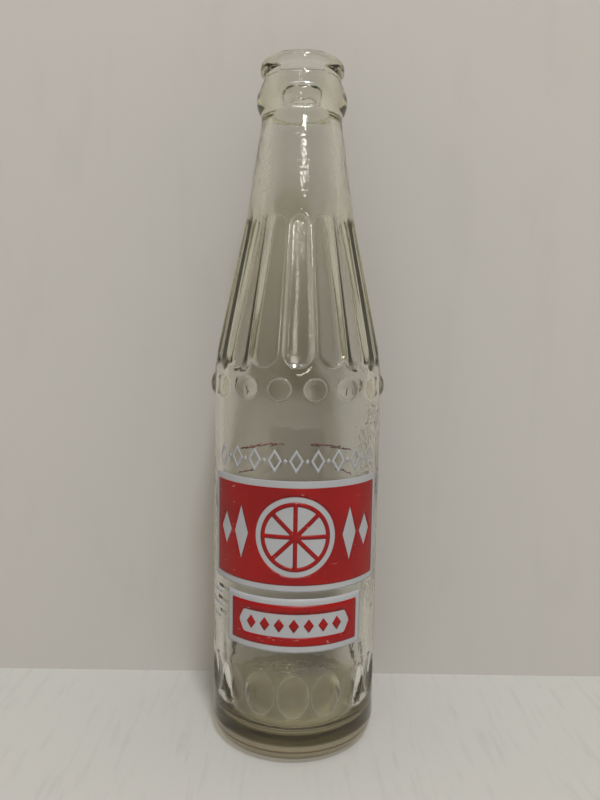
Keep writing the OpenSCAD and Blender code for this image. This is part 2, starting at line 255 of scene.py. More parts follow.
def fade(z, low, rise, high, fall):
    """One between two heights and nought outside them, with a straight rise after the low one and a straight
    fall before the high one."""
    return np.clip((z - low) / rise, 0, 1) * np.clip((high - z) / fall, 0, 1)


# The pattern's edge in a row is the last angle where the pattern is this deep, tried at so many angles. It
# stays within a least and a most angle, and is the usual one where a row has no pattern. It is smoothed up
# the bottle over a spread, and this share of the half pitch's columns lies within it.
EDGE_DEPTH, EDGE_TRIES, EDGE_LEAST, EDGE_MOST, EDGE_USUAL = 0.1, 226, 5.5, 9.5, 8.4
EDGE_SPREAD, EDGE_SHARE = 1.3, 0.75


def edge_columns(rows):
    """Angles of the columns in half a pitch, row by row. The pattern's edge in each row gets the same column
    all along, so that no edge is cut into steps, and the other columns are spread evenly on its two sides."""
    fine = np.linspace(0, HALF_ANGLE, EDGE_TRIES)
    plain, z = rows[:, :1], rows[:, 1:]
    cut = plain - moulded_radius(plain + 0 * fine, z + 0 * fine, fine + 0 * z) > EDGE_DEPTH
    edge = np.where(cut.any(1), fine[np.argmax(np.cumsum(cut, 1), 1)], EDGE_USUAL)
    edge = smooth_up(np.clip(edge, EDGE_LEAST, EDGE_MOST), rows[:, 1], EDGE_SPREAD)[:, None]
    share = np.arange(HALF + 1) / HALF
    return np.where(share < EDGE_SHARE, edge * share / EDGE_SHARE,
                    edge + (HALF_ANGLE - edge) * (share - EDGE_SHARE) / (1 - EDGE_SHARE))


# The stretch of the outside that the hollow is taken from, the heights between which it follows the flutes,
# how far its form is smoothed round, in columns, and up, and where its wall is thicker, as fade takes it.
UPRIGHT_LOW, UPRIGHT_HIGH = 100.0, 200.0
HOLLOW_LOW, HOLLOW_HIGH, HOLLOW_REACH, HOLLOW_SPREAD = 110.0, 180.0, 8, 2.0
THICKER_AT = (116, 14, 182, 14)


def hollow_radius(r, z, turn):
    """Radius of the hollow behind the flutes, where blown glass follows the mould: the plain radius, less a
    share of the flute's depth outside it, blurred by a bell curve round and up, less the thicker wall there,
    which comes and goes along a smooth step."""
    upright = (outer_line[:, 1] > UPRIGHT_LOW) & (outer_line[:, 1] < UPRIGHT_HIGH)
    plain = np.interp(z, outer_line[upright, 1], outer_line[upright, 0])
    from_flute = (np.degrees(turn) + HALF_ANGLE) % (2 * HALF_ANGLE) - HALF_ANGLE
    depth = np.maximum(plain - moulded_radius(plain, z, from_flute), 0)
    depth = depth * ((z > HOLLOW_LOW) & (z < HOLLOW_HIGH))
    shift = np.arange(-HOLLOW_REACH, HOLLOW_REACH + 1)
    bell = np.exp(-0.5 * (shift * 360 / COLUMNS / FLUTE_BLUR) ** 2)
    depth = sum(share * np.roll(depth, k, axis=1) for share, k in zip(bell / bell.sum(), shift))
    depth = smooth_up(depth, z[:, 0], HOLLOW_SPREAD)
    more = fade(z, *THICKER_AT)
    return r - FLUTE_FOLLOW * depth - FLUTE_WALL_MORE * more ** 2 * (3 - 2 * more)


# Each wave: its size, how often it goes round, the rise that turns it by one radian, and its start. Then the
# waves' size and place on the outside of the neck, where they are also quicker, and in the hollow.
WAVES = [(1.0, 3, 9.0, 0.0), (0.7, 5, -5.3, 1.7), (0.5, 2, 3.1, 0.6)]
OUTER_WAVE, OUTER_QUICKER, OUTER_WAVES_AT = 0.018, 1.7, (150, 20, 206, 4)
INNER_WAVE, INNER_WAVES_AT = 0.09, (12, 10, 212, 12)


def wavy(r, z, turn, amount):
    """Radius with slow waves added, as blown glass has: the sum of sines of the angle round times a whole
    number, plus the height over a length, plus a start."""
    wave = sum(size * np.sin(count * turn + z / length + start) for size, count, length, start in WAVES)
    return r + amount * wave


def build_mesh(name, points, faces, smooth=True):
    """A mesh object from points in millimetres and rows of corner numbers."""
    mesh = bpy.data.meshes.new(name)
    mesh.from_pydata((np.asarray(points) * MM).tolist(), [], [list(f) for f in faces])
    mesh.polygons.foreach_set("use_smooth", np.broadcast_to(smooth, len(mesh.polygons)).copy())
    mesh.update()
    made = bpy.data.objects.new(name, mesh)
    scene.collection.objects.link(made)
    return made


def scallop_faces(turn, from_flute, z):
    """The direction in which a round flute would face at each point, where this one's floor is flat. Its
    azimuth is that of the flute's middle, less the angle from the middle times the bend, which grows down
    the flute and fades beside the ridges. Its elevation is the shoulder's lean."""
    down = np.clip((SCALLOP_TOP - z) / (SCALLOP_TOP - SCALLOP_BOTTOM), 0, 1)
    beside_ridge = np.clip((HALF_ANGLE - np.abs(from_flute)) / RIDGE_ANGLE, 0, 1)
    bend = (SCALLOP_HIGH + (SCALLOP_LOW - SCALLOP_HIGH) * down) * beside_ridge
    side = turn - np.radians(from_flute) * (1 + bend)
    lean = math.radians(shoulder_lean)
    return np.stack([np.cos(side) * math.cos(lean), np.sin(side) * math.cos(lean),
                     0 * side + math.sin(lean)], 2)


def make_glass():
    """The bottle as one closed shell. A point is (r cos t, r sin t, z), where rows run from the push-up's
    middle over the outside, the lip and the inside to the middle of the floor, and columns run round. The
    outside's r comes from moulded_radius and the inside's from hollow_radius, with slow waves. The material
    reads three attributes: outer_skin is one on the outside and nought in the hollow, relief is how deep the
    pattern is pressed in at a point, and scallop is the direction from scallop_faces."""
    half = edge_columns(outer_rows[1:])
    pitch_columns = np.concatenate([half[:, :-1], 2 * HALF_ANGLE - half[:, :0:-1]], 1)
    starts = np.repeat(np.arange(PATTERN_N) * 2 * HALF_ANGLE, 2 * HALF)
    turn = starts + np.tile(pitch_columns, PATTERN_N)
    from_flute = (turn + HALF_ANGLE) % (2 * HALF_ANGLE) - HALF_ANGLE
    plain, z = outer_rows[1:, :1] + 0 * turn, outer_rows[1:, 1:] + 0 * turn
    patterned = (z > PATTERN_LOW) & (z < PATTERN_HIGH)
    r = np.where(patterned, moulded_radius(plain, z, from_flute), plain)
    turn = np.radians(turn)
    relief = plain - r
    r = wavy(r, z * OUTER_QUICKER, turn, OUTER_WAVE * fade(z, *OUTER_WAVES_AT))
    outside = np.stack([r * np.cos(turn), r * np.sin(turn), z], 2)

    even = np.radians(np.arange(COLUMNS) * 360 / COLUMNS)[None, :] + 0 * inner_rows[1:-1, :1]
    zi = inner_rows[1:-1, 1:] + 0 * even
    ri = hollow_radius(inner_rows[1:-1, :1] + 0 * even, zi, even)
    ri = wavy(ri, zi, even, INNER_WAVE * fade(zi, *INNER_WAVES_AT))
    inside = np.stack([ri * np.cos(even), ri * np.sin(even), zi], 2)

    grid = np.concatenate([outside, inside])
    count = len(grid)
    number = np.arange(count * COLUMNS).reshape(count, COLUMNS)
    beside = np.roll(number, -1, axis=1)
    quads = np.stack([number[:-1], beside[:-1], beside[1:], number[1:]], 2).reshape(-1, 4)
    low_pole, high_pole = count * COLUMNS, count * COLUMNS + 1
    bottom = np.stack([np.full(COLUMNS, low_pole), beside[0], number[0]], 1)
    floor = np.stack([number[-1], beside[-1], np.full(COLUMNS, high_pole)], 1)
    points = np.concatenate([grid.reshape(-1, 3), [(0, 0, outer_rows[0, 1]), (0, 0, inner_rows[-1, 1])]])
    made = build_mesh("moulded_glass", points, quads.tolist() + bottom.tolist() + floor.tolist())
    outer_count, inner_count = outside.size // 3, inside.size // 3
    skin = np.concatenate([np.ones(outer_count), np.zeros(inner_count), [1, 0]])
    relief = np.concatenate([relief.ravel(), np.zeros(inner_count + 2)])
    scallop = scallop_faces(turn, from_flute, z).reshape(-1, 3)
    scallop = np.concatenate([scallop, np.zeros((inner_count + 2, 3))])
    marks = (("outer_skin", "FLOAT", "value", skin), ("relief", "FLOAT", "value", relief),
             ("scallop", "FLOAT_VECTOR", "vector", scallop))
    for name, kind, key, values in marks:
        made.data.attributes.new(name, kind, "POINT").data.foreach_set(key, values.ravel())
    return made


def along_loop(points, longest=0.8):
    """A closed loop with points added, so that no side is longer than the longest."""
    points = np.asarray(points, float)
    after = np.roll(points, -1, axis=0)
    parts = np.maximum(1, np.ceil(np.hypot(*(after - points).T) / longest)).astype(int)
    return np.concatenate([a + (b - a) * (np.arange(n) / n)[:, None]
                           for a, b, n in zip(points, after, parts)])


def rounded(points, radius):
    """A closed loop with each corner replaced by a short curve: the corner's Bezier curve between the
    points at the given distance from it on its two sides, or at 0.45 of a side that is short."""
    points = np.asarray(points, float)
    before, after = np.roll(points, 1, axis=0), np.roll(points, -1, axis=0)
    t = np.linspace(0, 1, 6)[:, None]
    loop = []
    for a, corner, b in zip(before, points, after):
        start = corner + (a - corner) * min(radius / math.dist(a, corner), 0.45)
        end = corner + (b - corner) * min(radius / math.dist(b, corner), 0.45)
        loop.append((1 - t) ** 2 * start + 2 * t * (1 - t) * corner + t ** 2 * end)
    return np.concatenate(loop)


def rectangle(s_low, s_high, z_low, z_high, radius=0.35):
    """A rectangle's four corners, rounded."""
    return rounded([(s_low, z_low), (s_high, z_low), (s_high, z_high), (s_low, z_high)], radius)


def lozenge(s, z, width, height, radius=0.25):
    """A lozenge's corners at its right, top, left and bottom, rounded."""
    return rounded([(s + width / 2, z), (s, z + height / 2), (s - width / 2, z), (s, z - height / 2)], radius)


def circle(s, z, radius, count=96):
    """A circle: its middle plus radius times the cosine and sine of each angle."""
    t = np.arange(count) * 2 * np.pi / count
    return np.stack([s + radius * np.cos(t), z + radius * np.sin(t)], 1)


def within(loops, points):
    """Which points lie inside an odd number of loops: those from which a line to the right crosses the
    loops' sides an odd number of times."""
    odd = np.zeros(len(points), bool)
    for loop in loops:
        a, b = loop, np.roll(loop, -1, axis=0)
        x, y = points[:, :1], points[:, 1:]
        spans = (a[:, 1] > y) != (b[:, 1] > y)
        rise = np.where(a[:, 1] == b[:, 1], 1, b[:, 1] - a[:, 1])
        hit = x < a[:, 0] + (y - a[:, 1]) * (b[:, 0] - a[:, 0]) / rise
        odd ^= (spans & hit).sum(1) % 2 == 1
    return odd


# Where the points inside a print begin, how far apart they lie, along and up, and how near to a loop none is.
FIRST_S, FIRST_Z, FILL_S, FILL_Z, FILL_CLEAR = 0.4, 0.5, 0.9, 1.4, 0.3


def print_layer(name, loops, r_in, r_out, direction):
    """A layer of enamel as a closed solid. The loops lie in the plane of s, the length along the glass, and
    the height z, and what an odd number of them encloses is filled with triangles. Both sides are that
    sheet, wrapped as (r cos t, r sin t, z) with t the direction plus s over the body's radius, at the two
    radii, and walls join the sides where a triangle has no neighbour."""
    loops = [along_loop(loop) for loop in loops]
    flat = np.concatenate(loops)
    starts = np.cumsum([0] + [len(loop) for loop in loops])
    sides = [(first + i, first + (i + 1) % (last - first))
             for first, last in zip(starts[:-1], starts[1:]) for i in range(last - first)]
    low, high = flat.min(0), flat.max(0)
    s, z = np.meshgrid(np.arange(low[0] + FIRST_S, high[0], FILL_S),
                       np.arange(low[1] + FIRST_Z, high[1], FILL_Z))
    spots = np.stack([s.ravel(), z.ravel()], 1)
    spots = spots[within(loops, spots)]
    if len(spots):
        clear = np.array([np.hypot(*(flat - p).T).min() > FILL_CLEAR for p in spots])
        spots = spots[clear]
    points, _, faces, *_ = delaunay_2d_cdt(
        [Vector(p) for p in np.concatenate([flat, spots])], sides, [], 0, 1e-5)
    points, faces = np.array([tuple(p) for p in points]), np.array([f for f in faces if len(f) == 3])
    faces = faces[within(loops, points[faces].mean(1))]
    a, b, c = (points[faces[:, k]] for k in range(3))
    turned = (b - a)[:, 0] * (c - a)[:, 1] - (b - a)[:, 1] * (c - a)[:, 0] < 0
    faces[turned] = faces[turned][:, ::-1]
    edges = np.concatenate([faces[:, [0, 1]], faces[:, [1, 2]], faces[:, [2, 0]]])
    key, back = edges @ [len(points), 1], edges[:, ::-1] @ [len(points), 1]
    rim = edges[~np.isin(key, back)]
    used, fresh = np.unique(faces, return_inverse=True)
    faces = fresh.reshape(faces.shape)
    rim = np.searchsorted(used, rim)
    points = points[used]
    turn = np.radians(direction) + points[:, 0] / BODY_R
    count = len(points)
    skin = [np.stack([r * np.cos(turn), r * np.sin(turn), points[:, 1]], 1) for r in (r_out, r_in)]
    walls = np.stack([rim[:, 1], rim[:, 0], rim[:, 0] + count, rim[:, 1] + count], 1)
    polygons = faces.tolist() + (faces[:, ::-1] + count).tolist() + walls.tolist()
    smooth = np.arange(len(polygons)) < 2 * len(faces)
    return build_mesh(name, np.concatenate(skin), polygons, smooth)


# The prints' sizes and heights in millimetres, as in the part's source. Their lengths are along the glass.
MAIN_Z, MAIN_H, MAIN_W, BORDER = 57.0, 34.4, 64.0, 2.1
SLICE_R, RIND, PITH, SEGMENTS = 12.5, 1.7, 1.3, 8
MAIN_LOZENGES = [(17.9, 5.4, 17.0), (24.7, 5.4, 10.54)]
BAND_Z, BAND_H, BAND_W = 37.6, 17.2, 47.0
CARTOUCHE_H, CARTOUCHE_W = 7.4, 37.0
BAND_LOZENGES, BAND_LOZENGE_STEP, BAND_LOZENGE_W, BAND_LOZENGE_H = 7, 4.6, 3.2, 4.4
ROW_Z, ROW_N, ROW_STEP, ROW_H, ROW_W, ROW_LINE, ROW_DOT = 97.4, 9, 6.6, 7.4, 4.6, 0.9, 2.0
BAR_Z, BAR_STEP, BAR_H, BAR_L, BAR_GAP = 43.0, 4.2, 1.1, 9.0, 3.4
BAR_SHARES = [0.6, 1, 0.8]
REAR_LINES = [("enamel_rear_line_upper", "red_rear_line_upper", 93.0, 11.0),
              ("enamel_rear_line_lower", "red_rear_line_lower", 84.6, 34.0)]
REAR_W, REAR_L = 0.7, 52.0


def slice_loops(s, z):
    """A round slice of fruit: two circles for the rind, then wedges between neighbouring spokes, each moved
    out from the middle by half the gap over the sine of its half angle."""
    loops = [circle(s, z, SLICE_R), circle(s, z, SLICE_R - RIND)]
    flesh, half = SLICE_R - RIND - PITH, math.pi / SEGMENTS
    tip = PITH / 2 / math.sin(half)
    slack = math.asin(PITH / 2 / flesh)
    for i in range(SEGMENTS):
        middle = (2 * i + 1) * half
        t = np.linspace(middle - half + slack, middle + half - slack, 14)
        wedge = np.concatenate([[(s + tip * math.cos(middle), z + tip * math.sin(middle))],
                                np.stack([s + flesh * np.cos(t), z + flesh * np.sin(t)], 1)])
        loops.append(rounded(wedge, 0.35))
    return loops


def cartouche(z):
    """The long frame round the lozenges: a rectangle with a point at each end, rounded."""
    h, w = CARTOUCHE_H / 2, CARTOUCHE_W / 2
    return rounded([(w, z), (w - h / 2, z + h), (h / 2 - w, z + h),
                    (-w, z), (h / 2 - w, z - h), (w - h / 2, z - h)], 0.8)


def upper_row_loops():
    """The row of open lozenges: for each an outer and an inner one, and a small dot between neighbours."""
    inner = 1 - 2 * ROW_LINE / ROW_W
    loops = []
    for i in range(ROW_N):
        s = (i - (ROW_N - 1) / 2) * ROW_STEP
        loops += [lozenge(s, ROW_Z, ROW_W, ROW_H), lozenge(s, ROW_Z, ROW_W * inner, ROW_H * inner, 0.1)]
    for i in range(ROW_N - 1):
        loops.append(lozenge((i - ROW_N / 2 + 1) * ROW_STEP, ROW_Z, ROW_DOT * ROW_W / ROW_H, ROW_DOT, 0.15))
    return loops


def bar_loops():
    """The small bars beside the lower band, one over the other, each a share of the longest."""
    middle = -(BAND_W / 2 + BAR_GAP + BAR_L / 2)
    return [rectangle(middle - BAR_L * share / 2, middle + BAR_L * share / 2,
                      BAR_Z + i * BAR_STEP, BAR_Z + i * BAR_STEP + BAR_H, 0.3)
            for i, share in enumerate(BAR_SHARES)]


main_middle = MAIN_Z + MAIN_H / 2
band_middle = BAND_Z + BAND_H / 2
red_half = MAIN_W / 2 - BORDER
band_half = BAND_W / 2 - BORDER
main_red = [rectangle(-red_half, red_half, MAIN_Z + BORDER, MAIN_Z + MAIN_H - BORDER, 0.5)]
main_red += slice_loops(0, main_middle)
main_red += [lozenge(side * s, main_middle, w, h) for s, w, h in MAIN_LOZENGES for side in (-1, 1)]
band_row = [lozenge((i - (BAND_LOZENGES - 1) / 2) * BAND_LOZENGE_STEP, band_middle,
                    BAND_LOZENGE_W, BAND_LOZENGE_H) for i in range(BAND_LOZENGES)]

# Each layer: its name, the CAD node that it stands for, its slot, its loops, its radii and its direction.
LAYERS = [
    ("enamel_main_ground", "white_main_ground", "white_enamel",
     [rectangle(-MAIN_W / 2, MAIN_W / 2, MAIN_Z, MAIN_Z + MAIN_H, 0.7)], WHITE_IN, WHITE_OUT, FRONT),
    ("enamel_main_print", "red_main_print", "red_enamel", main_red, RED_IN, RED_OUT, FRONT),
    ("enamel_lower_ground", "white_lower_ground", "white_enamel",
     [rectangle(-BAND_W / 2, BAND_W / 2, BAND_Z, BAND_Z + BAND_H, 0.7)], WHITE_IN, WHITE_OUT, FRONT),
    ("enamel_lower_frame", "red_lower_frame", "red_enamel",
     [rectangle(-band_half, band_half, BAND_Z + BORDER, BAND_Z + BAND_H - BORDER, 0.5),
      cartouche(band_middle)], RED_IN, RED_OUT, FRONT),
    ("enamel_lozenge_row", "red_lozenge_row", "red_enamel", band_row, RED_IN, RED_OUT, FRONT),
    ("enamel_upper_row", "white_upper_row", "white_enamel", upper_row_loops(), WHITE_IN, WHITE_OUT, FRONT),
    ("enamel_side_bars", "white_side_bars", "white_enamel", bar_loops(), WHITE_IN, WHITE_OUT, FRONT),
]
for piece_name, node_name, z, gap in REAR_LINES:
    lines = [rectangle(*sorted((side * gap / 2, side * REAR_L / 2)), z, z + REAR_W, 0.2)
             for side in (-1, 1)]
    LAYERS.append((piece_name, node_name, "red_enamel", lines, REAR_IN, REAR_OUT, BACK))


class Nodes:
    """A material's node tree, with short ways to add a node, join sockets and do sums. A value is a number,
    a colour or another node's socket."""

    def __init__(self, name):
        self.material = bpy.data.materials.new(name)
        self.material.use_nodes = True
        self.tree = self.material.node_tree
        self.tree.nodes.clear()
        self.output = self.add("ShaderNodeOutputMaterial")

    def add(self, kind, inputs=None, **settings):
        node = self.tree.nodes.new(kind)
        for key, value in settings.items():
            setattr(node, key, value)
        for key, value in (inputs or {}).items():
            self.set(node.inputs[key], value)
        return node

    def set(self, socket, value):
        if isinstance(value, bpy.types.NodeSocket):
            self.tree.links.new(value, socket)
        else:
            socket.default_value = value

    def math(self, operation, a, b=0.0, c=0.0, clamp=False):
        node = self.add("ShaderNodeMath", {0: a, 1: b, 2: c}, operation=operation, use_clamp=clamp)
        return node.outputs[0]

    def times(self, first, *others):
        """The product of two or more values."""
        for other in others:
            first = self.math("MULTIPLY", first, other)
        return first

    def ramp(self, value, low, high, to_low=0.0, to_high=1.0):
        """Value from low to high, mapped to to_low to to_high along a smooth step."""
        node = self.add("ShaderNodeMapRange",
                        {"Value": value, "From Min": low, "From Max": high,
                         "To Min": to_low, "To Max": to_high},
                        interpolation_type="SMOOTHSTEP")
        return node.outputs["Result"]

    def band(self, value, begins, full, still_full, ends):
        """One between full and still_full, and nought before it begins and after it ends."""
        return self.times(self.ramp(value, begins, full), self.ramp(value, ends, still_full))

    def attribute(self, name, output="Fac"):
        return self.add("ShaderNodeAttribute", attribute_name=name).outputs[output]

    def facing(self, **inputs):
        """How far a surface turns away from the view: nought face on and one edge on."""
        return self.add("ShaderNodeLayerWeight", {"Blend": 0.5, **inputs}).outputs["Facing"]

    def mix(self, share, a, b):
        """Colour a, with this share of colour b."""
        node = self.add("ShaderNodeMix", data_type="RGBA")
        self.set(node.inputs[0], share)
        self.set(node.inputs[6], a)
        self.set(node.inputs[7], b)
        return node.outputs[2]

    def place(self, scale=(1, 1, 1)):
        """A point's place on the object in metres, with each direction times a factor."""
        coordinates = self.add("ShaderNodeTexCoord").outputs["Object"]
        return self.add("ShaderNodeMapping", {"Vector": coordinates, "Scale": scale}).outputs["Vector"]

    def noise(self, scale, detail=2.0, roughness=0.5, stretch=(1, 1, 1), distortion=0.0):
        return self.add("ShaderNodeTexNoise",
                        {"Vector": self.place(stretch), "Scale": scale, "Detail": detail,
                         "Roughness": roughness, "Distortion": distortion}).outputs["Fac"]


# Zones of the glass, in metres up: where each begins, where it is full, where it is still full and where it
# ends. The foot's zone has no low end.
CRINKLED_NECK = (0.1755, 0.181, 0.186, 0.204)
SCUFFED_BODY = (0.045, 0.07, 0.106, 0.116)
FLUTED = (0.1235, 0.1275, 0.1700, 0.1725)
# Where the painted light of the pale sheet in the hollow lies.
BASE_LIGHT_ZONE = (0.0095, 0.0115, 0.0275, 0.0335)
# Where the painted shade of the darker band above the foot lies.
HEEL_SHADE_BAND = (0.0066, 0.0074, 0.0106, 0.0118)
# The worn foot, whose pale tone and rings are also painted light.
FOOT_ENDS, FOOT_FULL = 0.0071, 0.0061

# Depths in millimetres at which an edge is worn and paled, also as painted light lines, round what is pressed
# in and round what stands proud, and between which a flute's floor begins.
PRESSED_EDGE = (0.02, 0.06, 0.12, 0.20)
PROUD_EDGE = (-0.36, -0.24, -0.08, -0.02)
FLOOR_BEGINS, FLOOR_FULL = 0.25, 0.5

# Tones of the glass: clear, the painted shade of the band above the foot and of the streaks beside the
# flutes, the painted light in the hollow above the floor, the worn edges, whose pale tone is also painted
# light, and the foot's painted highlight rings, which follow the sine of the height times RING_TURN.
CLEAR_TONE = (0.995, 0.995, 0.992, 1)
HEEL_SHADE_TONE = (0.45, 0.42, 0.28, 1)
FLUTE_SHADE_TONE = (0.018, 0.02, 0.008, 1)
BASE_LIGHT_TONE = (0.90, 0.83, 0.56, 1)
PALE_EDGE_WEAR_AND_LIGHT = (0.62, 0.61, 0.55, 1)
RING_HIGHLIGHT, RING_PAINTED_DARK = (0.56, 0.49, 0.35, 1), (0.24, 0.20, 0.13, 1)
RING_TURN = 3000.0


def scuffs_on(n, x, y, z):
    """Fine scuffs in an upright zone at the right of the body: flecks, where coarser patches let them be."""
    side = n.times(n.ramp(x, 0.0165, 0.0215), n.ramp(y, 0.004, -0.004))
    flecks = n.ramp(n.noise(1900, 3.0, 0.7, (1, 1, 0.45)), 0.585, 0.64)
    patches = n.ramp(n.noise(260, 2.0, 0.6, (1, 1, 0.4)), 0.42, 0.58)
    return n.times(flecks, patches, n.times(side, n.band(z, *SCUFFED_BODY)))


def glass_normal(n, z, scuffs):
    """The bump of moulded glass: slow and quick waves, a crinkle on the neck, and a pit at each scuff."""
    quick = n.times(n.noise(420, 2.0, 0.5), 0.45)
    slow = n.noise(110, 1.0, 0.5, (1, 1, 0.5))
    crinkle = n.times(n.noise(600, 2.0, 0.6, (1, 1, 0.8)), n.times(n.band(z, *CRINKLED_NECK), 1.7))
    height = n.math("ADD", n.math("ADD", quick, slow), crinkle)
    waves = n.add("ShaderNodeBump", {"Height": height, "Strength": 0.16, "Distance": 0.0006})
    pits = n.add("ShaderNodeBump", {"Height": n.math("SUBTRACT", 1.0, scuffs), "Strength": 0.7,
                                    "Distance": 0.00025, "Normal": waves.outputs[0]})
    return pits.outputs[0]


def glass_material():
    """Clear soda glass with a faint grey-green tint. Its marks are shares from nought to one: scuffs, painted
    shade in dark streaks on the sides of the flutes, where a round flute would be seen edge on, worn edges
    round the relief, whose pale tone also paints light lines along them, painted light in a pale sheet in the
    hollow above its floor, strongest face on and through the near wall, painted shade in a darker band above
    the foot, a worn foot whose pale tone also paints light seen through it, with fine painted highlight
    rings, and the rougher floors of the flutes and the hollow behind them. Near means the outside, met from
    outside. Shadows let light through, less where the glass is edge on."""
    n = Nodes("clear_soda_glass")
    x, y, z = n.add("ShaderNodeSeparateXYZ", {0: n.place()}).outputs
    skin, relief = n.attribute("outer_skin"), n.attribute("relief")
    hollow = n.math("SUBTRACT", 1.0, skin)
    from_inside = n.add("ShaderNodeNewGeometry").outputs["Backfacing"]
    near = n.math("SUBTRACT", skin, from_inside, clamp=True)
    facing = n.facing()
    fluted = n.band(z, *FLUTED)

    scuffs = scuffs_on(n, x, y, z)
    # Painted shade: dark streaks where a round flute's side would be seen edge on.
    streaks = n.times(n.ramp(n.facing(Normal=n.attribute("scallop", "Vector")), 0.58, 0.66), fluted, near)
    # Worn edges round the relief, whose pale tone also paints the light lines along them.
    edges = n.times(n.math("ADD", n.band(relief, *PRESSED_EDGE), n.band(relief, *PROUD_EDGE)),
                    n.math("SUBTRACT", near, streaks, clamp=True))
    # Painted light: a pale sheet in the hollow above the floor, strongest face on and through the near wall.
    painted_base_light = n.times(n.band(z, *BASE_LIGHT_ZONE), hollow, n.math("MULTIPLY_ADD", from_inside, 0.85, 0.15),
                   n.ramp(facing, 0.24, 0.13))
    # Painted shade: a darker band above the foot.
    heel_shade = n.times(n.band(z, *HEEL_SHADE_BAND), skin)
    # The worn foot, rougher and pale, its pale tone also painted light, with painted highlight rings.
    worn_foot_and_light = n.times(n.ramp(z, FOOT_ENDS, FOOT_FULL), skin)
    painted_highlight_rings = n.ramp(n.math("SINE", n.times(z, RING_TURN)), 0.2, 0.9)
    floors = n.times(n.math("ADD", n.times(n.ramp(relief, FLOOR_BEGINS, FLOOR_FULL), near), hollow), fluted)

    tone = CLEAR_TONE
    for share, colour in ((heel_shade, HEEL_SHADE_TONE), (streaks, FLUTE_SHADE_TONE), (painted_base_light, BASE_LIGHT_TONE),
                          (worn_foot_and_light, n.mix(painted_highlight_rings, RING_HIGHLIGHT, RING_PAINTED_DARK)), (edges, PALE_EDGE_WEAR_AND_LIGHT)):
        tone = n.mix(share, tone, colour)
    rough = 0.008
    for share, more in ((scuffs, 0.25), (floors, 0.10), (streaks, 0.45), (worn_foot_and_light, 0.15)):
        rough = n.math("MULTIPLY_ADD", share, more, rough)
    # The painted light sheet, the foot and the worn edges are partly solid, so that their pale tones show.
    solid = n.math("MULTIPLY_ADD", painted_base_light, 0.46, n.times(worn_foot_and_light, 0.4))
    solid = n.math("MAXIMUM", solid, n.times(edges, n.ramp(z, 0.04, 0.10, 0.15, 0.26)))
    shader = n.add("ShaderNodeBsdfPrincipled",
                   {"Base Color": tone, "Roughness": rough, "IOR": 1.52,
                    "Transmission Weight": n.math("SUBTRACT", 1.0, solid),
                    "Normal": glass_normal(n, z, scuffs)})

    dimmed = n.mix(n.ramp(facing, 0.2, 0.9), (0.988, 0.98, 0.97, 1), (0.66, 0.61, 0.54, 1))
    clear = n.add("ShaderNodeBsdfTransparent", {"Color": dimmed})
    shadow = n.add("ShaderNodeLightPath").outputs["Is Shadow Ray"]
    both = n.add("ShaderNodeMixShader", {0: shadow, 1: shader.outputs[0], 2: clear.outputs[0]})
    tint = n.add("ShaderNodeVolumeAbsorption", {"Color": (0.66, 0.63, 0.30, 1), "Density": 32.0})
    n.set(n.output.inputs["Surface"], both.outputs[0])
    n.set(n.output.inputs["Volume"], tint.outputs[0])
    return n.material


def enamel_material(name, colour, deep, worn, wear):
    """Fired enamel: a colour that clouds into a deeper one, pinholes and short scratches that show what
    lies under it, an orange-peel bump and a satin gloss that varies."""
    n = Nodes(name)
    cloud = n.ramp(n.noise(70, 3.0, 0.55), 0.35, 0.65)
    base = n.mix(cloud, (*colour, 1), (*deep, 1))
    nicks = n.ramp(n.noise(620, 2.0, 0.6, (1, 1, 0.8)), 0.70, 0.735)
    scratch = n.ramp(n.noise(330, 1.0, 0.5, (1, 1, 5.0), 0.6), 0.712, 0.735)
    strewn = n.ramp(n.noise(95, 2.0, 0.5), 0.46, 0.6)
    marks = n.math("MULTIPLY", n.math("MAXIMUM", nicks, scratch), n.times(strewn, wear), clamp=True)
    base = n.mix(marks, base, (*worn, 1))
    gloss = n.math("MULTIPLY_ADD", n.noise(150, 2.0), 0.16, 0.26)
    peel = n.math("MULTIPLY_ADD", n.noise(1500, 2.0), 0.4, n.math("MULTIPLY", marks, -1.0))
    bump = n.add("ShaderNodeBump", {"Height": peel, "Strength": 0.22, "Distance": 0.0001})
    shader = n.add("ShaderNodeBsdfPrincipled",
                   {"Base Color": base, "Roughness": gloss, "IOR": 1.5, "Specular IOR Level": 0.3,
                    "Normal": bump.outputs[0]})
    n.set(n.output.inputs["Surface"], shader.outputs[0])
    return n.material


def stage_material(name, colour, grain, stretch, scale):
    """A painted board: one pale colour, with faint greyer streaks drawn out along the board."""
    n = Nodes(name)
    streaks = n.ramp(n.noise(scale, 4.0, 0.6, stretch), 0.5, 0.72)
    tone = n.mix(streaks, (*colour, 1), (*[c * grain for c in colour], 1))
    shader = n.add("ShaderNodeBsdfPrincipled", {"Base Color": tone, "Roughness": 0.75,
                                                "Specular IOR Level": 0.2})
    return n, shader


def floor_material():
    """The pale floor, with streaks that run away from the camera."""
    n, shader = stage_material("pale_floor", (0.585, 0.585, 0.57), 0.93, (1, 0.12, 1), 320)
    n.set(n.output.inputs["Surface"], shader.outputs[0])
    return n.material


def wall_material():
    """The wall behind: plain and pale, and seen only from its front, so that it hides nothing from
    behind."""
    n, shader = stage_material("pale_wall", (0.55, 0.535, 0.515), 0.97, (1, 1, 0.3), 60)
    behind = n.add("ShaderNodeNewGeometry").outputs["Backfacing"]
    clear = n.add("ShaderNodeBsdfTransparent")
    both = n.add("ShaderNodeMixShader", {0: behind, 1: shader.outputs[0], 2: clear.outputs[0]})
    n.set(n.output.inputs["Surface"], both.outputs[0])
    return n.material


def plane(name, corners, material):
    """A flat piece of the stage, from its four corners in millimetres."""
    made = build_mesh(name, corners, [(0, 1, 2, 3)], False)
    made.data.materials.append(material)


# The dim room is where a direction's Y is under the one value and its Z under the other, and each edge of it
# is soft: the larger the number after it, the sharper.
ROOM_Y, ROOM_Y_EDGE, ROOM_Z, ROOM_Z_EDGE = -0.05, 4.0, 0.93, 6.0


